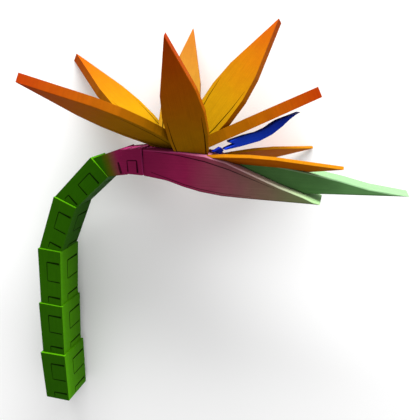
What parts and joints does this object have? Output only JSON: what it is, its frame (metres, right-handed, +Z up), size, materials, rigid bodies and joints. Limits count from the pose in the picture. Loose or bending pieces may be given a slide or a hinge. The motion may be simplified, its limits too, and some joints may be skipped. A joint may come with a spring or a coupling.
{
  "type": "bird of paradise flower",
  "caption": "Cut bird of paradise flower lying on its back: a bent, stepped square stem, a two-leaf magenta and green spathe, fanned amber sepals and a blue petal.",
  "frame": {"origin": "middle of the footprint's bounding box, on the surface that the flower lies on", "axes": "+Z up from the surface, +Y the way the foot of the stem grows up towards the flower head, +X the way the head leans over from the stem"},
  "size_m": [0.3364, 0.377, 0.1269],
  "materials": {
    "stem": "satin waxy plant skin, green that turns magenta at the neck",
    "spathe_front": "satin waxy leaf, magenta at the root and green at the tip",
    "spathe_rear": "satin waxy green leaf",
    "sepal": "satin waxy petal, yellow at the root and orange at the tip",
    "low_sepal": "satin waxy petal, brown orange",
    "blue_petal": "satin blue petal",
    "nectary": "satin dark blue petal"
  },
  "bodies": {
    "root": {"stem": "stem", "spathe_front": "spathe_front", "spathe_rear": "spathe_rear", "sepal_centre_front": "sepal", "sepal_centre_back": "sepal", "sepal_right_tall": "sepal", "sepal_left_front": "sepal", "sepal_left_back": "sepal", "sepal_right_flat": "sepal", "sepal_low_back": "low_sepal", "sepal_low_front": "low_sepal", "blue_petal": "blue_petal", "blue_nectary": "nectary"}
  },
  "joints": []
}
